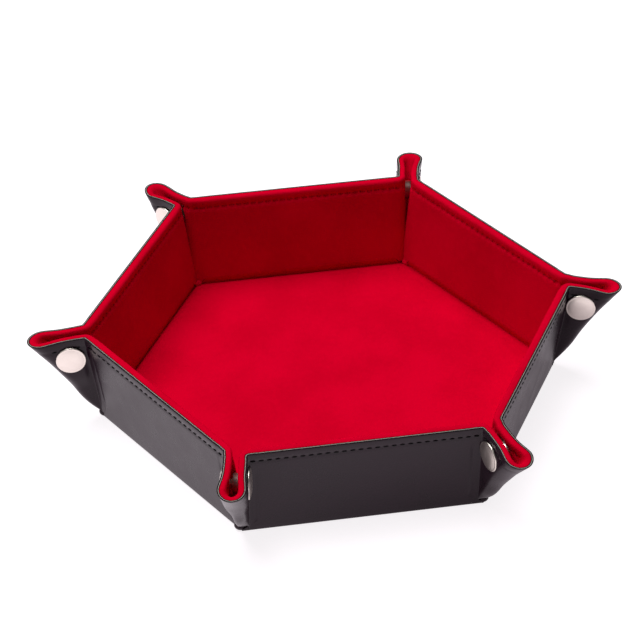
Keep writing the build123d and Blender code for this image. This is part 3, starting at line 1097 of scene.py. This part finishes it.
class MakeSeams(bpy.types.Operator):
    """Sew the seam under the rim, on the leatherette and on the velvet"""

    bl_idname = "dice_tray.seams"
    bl_label = "Seams"

    def execute(self, context):
        made = materials(context)
        look = context.scene.dice_tray_look
        for wall in WALLS.values():
            def outer(p, depth, wall=wall):
                return wall.at(p, SEAM, depth + SEAM_DENT)

            def inner(p, depth, wall=wall):
                return wall.at(p, SEAM, WALL_FACE - VELVET_SINK - depth)

            places = seam_places(-REACH + SEAM_END, REACH - SEAM_END)
            piece = sew(f"wall_{wall.number}_seam_outside", outer, places, look,
                        made["black_thread"])
            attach(piece, wall.body)
            piece = sew(f"wall_{wall.number}_seam_inside", inner, places, look,
                        made["red_thread"])
            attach(piece, wall.body)
        for ear in EARS.values():
            for flap in ear.flaps.values():
                def outer(p, depth, flap=flap):
                    return leg_point(flap, p, SEAM, depth + SEAM_DENT)

                def inner(p, depth, flap=flap):
                    return leg_point(flap, p, SEAM, EAR_FACE - VELVET_SINK - depth)

                places = seam_places(REACH + EAR_SEAM_START, REACH + loop_start(flap, SEAM))
                piece = sew(f"ear_{flap.name}_seam_outside", outer, places, look,
                            made["black_thread"])
                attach(piece, flap.body)
                piece = sew(f"ear_{flap.name}_seam_inside", inner, places, look,
                            made["red_thread"])
                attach(piece, flap.body)
        return {"FINISHED"}


class MakeSnaps(bpy.types.Operator):
    """Turn the snap fasteners"""

    bl_idname = "dice_tray.snaps"
    bl_label = "Snaps"

    def execute(self, context):
        made = materials(context)
        for ear in EARS.values():
            for side in "ab":
                snap_half(ear, side, made["nickel"])
        return {"FINISHED"}


class MakeStage(bpy.types.Operator):
    """Make the table, the studio light and the camera"""

    bl_idname = "dice_tray.stage"
    bl_label = "Stage"

    def execute(self, context):
        finish = Finish("table")
        place = finish.place()
        cloud = finish.speckle(place, 0.4)
        # Painted light: the table glows though it is no lamp. Its glow is painted darker within about 0.14 m of
        # the tray, a painted shadow that lights the tray less from below and darkens the tray's reflections.
        # Camera rays see the table evenly bright.
        radius = finish.number("ShaderNodeVectorMath", {"operation": "DISTANCE"},
                               {0: place, 1: (0.05, 0, 0)}, "Value")
        near, far = (0.36, 0.315, 0.345, 1), (0.84, 0.77, 0.82, 1)
        glow_with_painted_shadow = finish.mix(finish.ramp(radius, 0.06, 0.14), near, far)
        seen = finish.node("ShaderNodeLightPath").outputs["Is Camera Ray"]
        glow_with_painted_shadow = finish.mix(seen, glow_with_painted_shadow, (0.86, 0.835, 0.85, 1))
        finish.set(Base_Color=finish.mix(cloud, (0.34, 0.31, 0.335, 1), (0.37, 0.34, 0.365, 1)),
                   Roughness=0.9, Emission_Color=glow_with_painted_shadow, Emission_Strength=1.0)
        bm = bmesh.new()
        bmesh.ops.create_grid(bm, x_segments=1, y_segments=1, size=6)
        mesh = bpy.data.meshes.new("table")
        bm.to_mesh(mesh)
        bm.free()
        mesh.materials.append(finish.material)
        table = bpy.data.objects.new("table", mesh)
        context.collection.objects.link(table)
        world = bpy.data.worlds.new("studio")
        context.scene.world = world
        world.use_nodes = True
        background = world.node_tree.nodes["Background"]
        background.inputs["Color"].default_value = (1, 1, 1, 1)
        background.inputs["Strength"].default_value = 0.12
        soft_light("top_softbox", (-0.25, 0.35, 1.5), (0, 0, 0), (1.4, 1.1), 30)
        soft_light("left_softbox", (-1.5, -0.3, 0.8), (0, 0, 0.02), (0.9, 0.9), 2)
        context.scene.view_settings.view_transform = "Standard"
        place_camera()
        return {"FINISHED"}


class DiceTrayPanel(bpy.types.Panel):
    """The tray's makers, in the order they are used"""

    bl_idname = "VIEW3D_PT_dice_tray"
    bl_label = "Dice Tray"
    bl_space_type = "VIEW_3D"
    bl_region_type = "UI"
    bl_category = "Dice Tray"

    def draw(self, context):
        for operator in OPERATORS:
            self.layout.operator(operator.bl_idname)
        look = context.scene.dice_tray_look
        for name in DiceTrayLook.__annotations__:
            self.layout.prop(look, name)


OPERATORS = (MakeBase, MakeWalls, MakeEars, MakeSeams, MakeSnaps, MakeStage)
CLASSES = (DiceTrayLook, *OPERATORS, DiceTrayPanel)


def register():
    for cls in CLASSES:
        bpy.utils.register_class(cls)
    bpy.types.Scene.dice_tray_look = bpy.props.PointerProperty(type=DiceTrayLook)


def unregister():
    del bpy.types.Scene.dice_tray_look
    for cls in reversed(CLASSES):
        bpy.utils.unregister_class(cls)


def main():
    """Makes the tray and its stage."""
    register()
    for operator in OPERATORS:
        group, name = operator.bl_idname.split(".")
        getattr(getattr(bpy.ops, group), name)()


if __name__ == "__main__":
    main()
